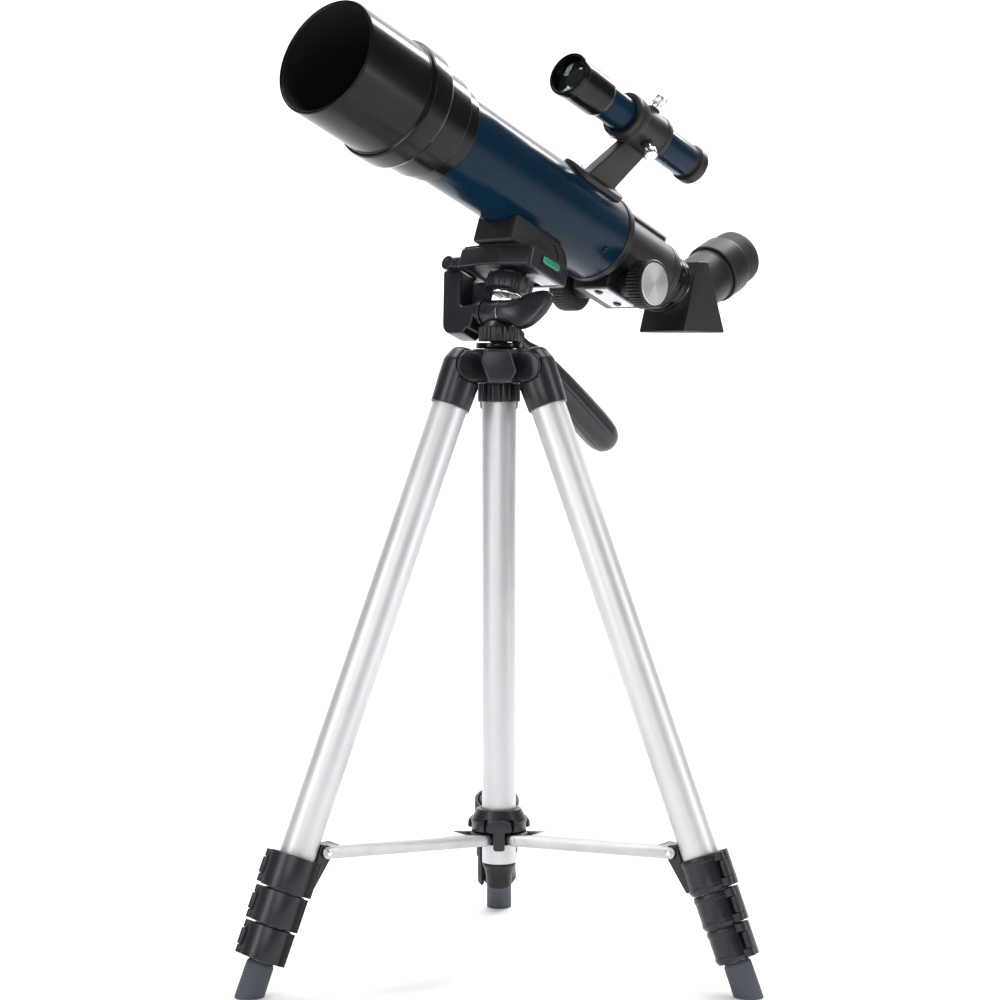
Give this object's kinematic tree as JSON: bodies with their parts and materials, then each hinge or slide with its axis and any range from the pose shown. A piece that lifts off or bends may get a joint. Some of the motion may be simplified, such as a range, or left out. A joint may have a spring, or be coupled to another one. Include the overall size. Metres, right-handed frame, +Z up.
{
  "type": "telescope on tripod",
  "caption": "Small refracting telescope with star diagonal, eyepiece and finder, on a pan and tilt head over a braced folding tabletop tripod with telescoping legs.",
  "frame": {"origin": "on the floor, under the middle of the whole object's bounding box", "axes": "+Z is up; +X is to the right of the front view and -Y is towards the viewer; the objective points towards -X, -Y and up"},
  "size_m": [0.3067, 0.3118, 0.5307],
  "materials": {
    "silver_anodised": "satin anodised",
    "charcoal_plastic": "satin charcoal",
    "foot_rubber": "matt",
    "strut_metal": "pressed sheet",
    "tube_blue": "gloss deep blue",
    "gloss_black": "gloss",
    "satin_black": "satin",
    "chrome": "polished",
    "glass": "coated lens",
    "bubble_green": "tinted clear"
  },
  "bodies": {
    "base": {"spider": "charcoal_plastic", "column_collar": "charcoal_plastic"},
    "column_lock_knob": {"column_lock_knob": "charcoal_plastic"},
    "column": {"column": "silver_anodised", "column_top_plate": "charcoal_plastic", "column_end_cap": "satin_black"},
    "brace_hub": {"brace_hub": "charcoal_plastic"},
    "leg_1": {"leg_1_top_casting": "charcoal_plastic", "leg_1_upper_tube": "silver_anodised", "leg_1_clamp_1": "charcoal_plastic"},
    "leg_1_middle": {"leg_1_section_2": "charcoal_plastic"},
    "leg_1_lower": {"leg_1_section_3": "charcoal_plastic"},
    "leg_1_foot": {"leg_1_lower_section": "foot_rubber"},
    "leg_1_lever_1": {"leg_1_lever_1": "charcoal_plastic"},
    "leg_1_lever_2": {"leg_1_lever_2": "charcoal_plastic"},
    "leg_1_lever_3": {"leg_1_lever_3": "charcoal_plastic"},
    "strut_1": {"strut_1": "strut_metal"},
    "leg_2": {"leg_2_top_casting": "charcoal_plastic", "leg_2_upper_tube": "silver_anodised", "leg_2_clamp_1": "charcoal_plastic"},
    "leg_2_middle": {"leg_2_section_2": "charcoal_plastic"},
    "leg_2_lower": {"leg_2_section_3": "charcoal_plastic"},
    "leg_2_foot": {"leg_2_lower_section": "foot_rubber"},
    "leg_2_lever_1": {"leg_2_lever_1": "charcoal_plastic"},
    "leg_2_lever_2": {"leg_2_lever_2": "charcoal_plastic"},
    "leg_2_lever_3": {"leg_2_lever_3": "charcoal_plastic"},
    "strut_2": {"strut_2": "strut_metal"},
    "leg_3": {"leg_3_top_casting": "charcoal_plastic", "leg_3_upper_tube": "silver_anodised", "leg_3_clamp_1": "charcoal_plastic"},
    "leg_3_middle": {"leg_3_section_2": "charcoal_plastic"},
    "leg_3_lower": {"leg_3_section_3": "charcoal_plastic"},
    "leg_3_foot": {"leg_3_lower_section": "foot_rubber"},
    "leg_3_lever_1": {"leg_3_lever_1": "charcoal_plastic"},
    "leg_3_lever_2": {"leg_3_lever_2": "charcoal_plastic"},
    "leg_3_lever_3": {"leg_3_lever_3": "charcoal_plastic"},
    "strut_3": {"strut_3": "strut_metal"},
    "pan_body": {"pan_body": "charcoal_plastic"},
    "tilt_frame": {"tilt_frame": "charcoal_plastic"},
    "tilt_wing_lever": {"tilt_wing_lever": "charcoal_plastic"},
    "pan_handle": {"pan_handle": "charcoal_plastic"},
    "telescope": {"platform": "charcoal_plastic", "bubble_level": "bubble_green", "mounting_foot": "satin_black", "main_tube": "tube_blue", "dew_shield": "gloss_black", "objective_lens": "glass", "focuser_housing": "satin_black", "finder_bracket": "satin_black", "finder_tube": "gloss_black"},
    "platform_screw": {"platform_screw": "charcoal_plastic"},
    "draw_tube": {"draw_tube": "gloss_black"},
    "focus_knobs": {"focus_knobs": "satin_black"},
    "diagonal": {"diagonal_housing": "satin_black"},
    "eyepiece": {"eyepiece": "satin_black"},
    "finder_eyepiece": {"finder_eyepiece": "satin_black"},
    "finder_screw_1": {"finder_screw_1": "chrome"},
    "finder_screw_2": {"finder_screw_2": "chrome"},
    "finder_screw_3": {"finder_screw_3": "chrome"}
  },
  "joints": [
    {"name": "column_slide", "type": "slide", "parent": "base", "child": "column", "axis": [0, 0, 1], "range_m": [0, 0.2]},
    {"name": "column_lock_knob_turn", "type": "hinge", "parent": "base", "child": "column_lock_knob", "pos_m": [-0.01054, -0.04872, 0.3403], "axis": [0, -1, 0], "continuous": true},
    {"name": "brace_hub_slide", "type": "slide", "parent": "base", "child": "brace_hub", "axis": [0, 0, 1], "range_m": [0, 0.04506]},
    {"name": "leg_1_fold", "type": "hinge", "parent": "base", "child": "leg_1", "pos_m": [-0.03042, -0.0407, 0.34], "axis": [0.5, -0.866, 0], "range_deg": [0, 2.48]},
    {"name": "strut_1_swing", "type": "hinge", "parent": "leg_1", "child": "strut_1", "pos_m": [-0.10728, -0.08507, 0.07499], "axis": [0.5, -0.866, 0], "range_deg": [0, 26.86]},
    {"name": "leg_1_slide_2", "type": "slide", "parent": "leg_1", "child": "leg_1_middle", "axis": [-0.3147, -0.1817, -0.9317], "range_m": [0, 0.2]},
    {"name": "leg_1_slide_3", "type": "slide", "parent": "leg_1_middle", "child": "leg_1_lower", "axis": [-0.3147, -0.1817, -0.9317], "range_m": [0, 0.2]},
    {"name": "leg_1_slide_4", "type": "slide", "parent": "leg_1_lower", "child": "leg_1_foot", "axis": [-0.3147, -0.1817, -0.9317], "range_m": [0, 0.2]},
    {"name": "leg_1_lever_1_flip", "type": "hinge", "parent": "leg_1", "child": "leg_1_lever_1", "pos_m": [-0.13766, -0.09661, 0.06947], "axis": [0.3147, 0.1817, 0.9317], "range_deg": [-90, 0]},
    {"name": "leg_1_lever_2_flip", "type": "hinge", "parent": "leg_1_middle", "child": "leg_1_lever_2", "pos_m": [-0.1433, -0.10014, 0.0506], "axis": [0.3147, 0.1817, 0.9317], "range_deg": [-90, 0]},
    {"name": "leg_1_lever_3_flip", "type": "hinge", "parent": "leg_1_lower", "child": "leg_1_lever_3", "pos_m": [-0.14879, -0.10359, 0.0322], "axis": [0.3147, 0.1817, 0.9317], "range_deg": [-90, 0]},
    {"name": "leg_2_fold", "type": "hinge", "parent": "base", "child": "leg_2", "pos_m": [0.00934, -0.0407, 0.34], "axis": [0.5, 0.866, 0], "range_deg": [0, 2.48]},
    {"name": "strut_2_swing", "type": "hinge", "parent": "leg_2", "child": "strut_2", "pos_m": [0.0862, -0.08507, 0.07499], "axis": [0.5, 0.866, 0], "range_deg": [0, 26.86]},
    {"name": "leg_2_slide_2", "type": "slide", "parent": "leg_2", "child": "leg_2_middle", "axis": [0.3147, -0.1817, -0.9317], "range_m": [0, 0.2]},
    {"name": "leg_2_slide_3", "type": "slide", "parent": "leg_2_middle", "child": "leg_2_lower", "axis": [0.3147, -0.1817, -0.9317], "range_m": [0, 0.2]},
    {"name": "leg_2_slide_4", "type": "slide", "parent": "leg_2_lower", "child": "leg_2_foot", "axis": [0.3147, -0.1817, -0.9317], "range_m": [0, 0.2]},
    {"name": "leg_2_lever_1_flip", "type": "hinge", "parent": "leg_2", "child": "leg_2_lever_1", "pos_m": [0.11138, -0.10562, 0.06947], "axis": [-0.3147, 0.1817, 0.9317], "range_deg": [-90, 0]},
    {"name": "leg_2_lever_2_flip", "type": "hinge", "parent": "leg_2_middle", "child": "leg_2_lever_2", "pos_m": [0.11727, -0.10873, 0.0506], "axis": [-0.3147, 0.1817, 0.9317], "range_deg": [-90, 0]},
    {"name": "leg_2_lever_3_flip", "type": "hinge", "parent": "leg_2_lower", "child": "leg_2_lever_3", "pos_m": [0.12299, -0.11176, 0.0322], "axis": [-0.3147, 0.1817, 0.9317], "range_deg": [-90, 0]},
    {"name": "leg_3_fold", "type": "hinge", "parent": "base", "child": "leg_3", "pos_m": [-0.01054, -0.00627, 0.34], "axis": [-1, 0, 0], "range_deg": [0, 2.48]},
    {"name": "strut_3_swing", "type": "hinge", "parent": "leg_3", "child": "strut_3", "pos_m": [-0.01054, 0.08248, 0.07499], "axis": [-1, 0, 0], "range_deg": [0, 26.86]},
    {"name": "leg_3_slide_2", "type": "slide", "parent": "leg_3", "child": "leg_3_middle", "axis": [0, 0.3633, -0.9317], "range_m": [0, 0.2]},
    {"name": "leg_3_slide_3", "type": "slide", "parent": "leg_3_middle", "child": "leg_3_lower", "axis": [0, 0.3633, -0.9317], "range_m": [0, 0.2]},
    {"name": "leg_3_slide_4", "type": "slide", "parent": "leg_3_lower", "child": "leg_3_foot", "axis": [0, 0.3633, -0.9317], "range_m": [0, 0.2]},
    {"name": "leg_3_lever_1_flip", "type": "hinge", "parent": "leg_3", "child": "leg_3_lever_1", "pos_m": [-0.00534, 0.11457, 0.06947], "axis": [0, -0.3633, 0.9317], "range_deg": [-90, 0]},
    {"name": "leg_3_lever_2_flip", "type": "hinge", "parent": "leg_3_middle", "child": "leg_3_lever_2", "pos_m": [-0.00558, 0.12122, 0.0506], "axis": [0, -0.3633, 0.9317], "range_deg": [-90, 0]},
    {"name": "leg_3_lever_3_flip", "type": "hinge", "parent": "leg_3_lower", "child": "leg_3_lever_3", "pos_m": [-0.00582, 0.12769, 0.0322], "axis": [0, -0.3633, 0.9317], "range_deg": [-90, 0]},
    {"name": "pan_turn", "type": "hinge", "parent": "column", "child": "pan_body", "pos_m": [-0.01054, -0.02922, 0.3542], "axis": [0, 0, 1], "range_deg": [-35, 2]},
    {"name": "tilt_turn", "type": "hinge", "parent": "pan_body", "child": "tilt_frame", "pos_m": [-0.0177, -0.02298, 0.3705], "axis": [0.7542, -0.6567, 0], "range_deg": [-25, 8]},
    {"name": "tilt_wing_lever_turn", "type": "hinge", "parent": "pan_body", "child": "tilt_wing_lever", "pos_m": [-0.00451, -0.03447, 0.3705], "axis": [0.7542, -0.6567, 0], "range_deg": [-30, 30]},
    {"name": "pan_handle_turn", "type": "hinge", "parent": "pan_body", "child": "pan_handle", "pos_m": [-0.00108, -0.01836, 0.3569], "axis": [0.5315, 0.61, -0.5877], "continuous": true},
    {"name": "platform_flip", "type": "hinge", "parent": "tilt_frame", "child": "telescope", "pos_m": [-0.03182, 0.00146, 0.39504], "axis": [-0.6152, -0.7065, 0.3498], "range_deg": [0, 90]},
    {"name": "platform_screw_turn", "type": "hinge", "parent": "telescope", "child": "platform_screw", "pos_m": [-0.0035, -0.02266, 0.39041], "axis": [0.2297, 0.2638, 0.9368], "continuous": true},
    {"name": "focus_slide", "type": "slide", "parent": "telescope", "child": "draw_tube", "axis": [0.6152, 0.7065, -0.3498], "range_m": [-0.005, 0.03]},
    {"name": "focus_knobs_turn", "type": "hinge", "parent": "telescope", "child": "focus_knobs", "pos_m": [0.05463, 0.04563, 0.38873], "axis": [0.7542, -0.6567, 0], "range_deg": [-300, 60]},
    {"name": "diagonal_turn", "type": "hinge", "parent": "draw_tube", "child": "diagonal", "pos_m": [0.09158, 0.08807, 0.39078], "axis": [-0.6152, -0.7065, 0.3498], "continuous": true},
    {"name": "eyepiece_slide", "type": "slide", "parent": "diagonal", "child": "eyepiece", "axis": [0.5975, 0.6863, 0.4147], "range_m": [0, 0.018]},
    {"name": "finder_eyepiece_turn", "type": "hinge", "parent": "telescope", "child": "finder_eyepiece", "pos_m": [0.09911, 0.05011, 0.46373], "axis": [-0.6152, -0.7065, 0.3498], "continuous": true},
    {"name": "finder_screw_1_turn", "type": "hinge", "parent": "telescope", "child": "finder_screw_1", "pos_m": [0.08013, 0.01864, 0.49056], "axis": [0.5471, -0.063, 0.8347], "continuous": true},
    {"name": "finder_screw_2_turn", "type": "hinge", "parent": "telescope", "child": "finder_screw_2", "pos_m": [0.07552, 0.01142, 0.46787], "axis": [0.2181, -0.5789, -0.7857], "continuous": true},
    {"name": "finder_screw_3_turn", "type": "hinge", "parent": "telescope", "child": "finder_screw_3", "pos_m": [0.06176, 0.02851, 0.47819], "axis": [-0.7652, 0.6419, -0.049], "continuous": true}
  ],
  "couplings": [
    {"joint": "strut_1_swing", "follows": "leg_1_fold", "ratio": 10.847},
    {"joint": "leg_2_fold", "follows": "leg_1_fold", "ratio": 1},
    {"joint": "strut_2_swing", "follows": "leg_1_fold", "ratio": 10.847},
    {"joint": "leg_3_fold", "follows": "leg_1_fold", "ratio": 1},
    {"joint": "strut_3_swing", "follows": "leg_1_fold", "ratio": 10.847},
    {"joint": "brace_hub_slide", "follows": "leg_1_fold", "m_per_rad": 1.0427},
    {"joint": "focus_knobs_turn", "follows": "focus_slide", "rad_per_m": -166.67}
  ]
}
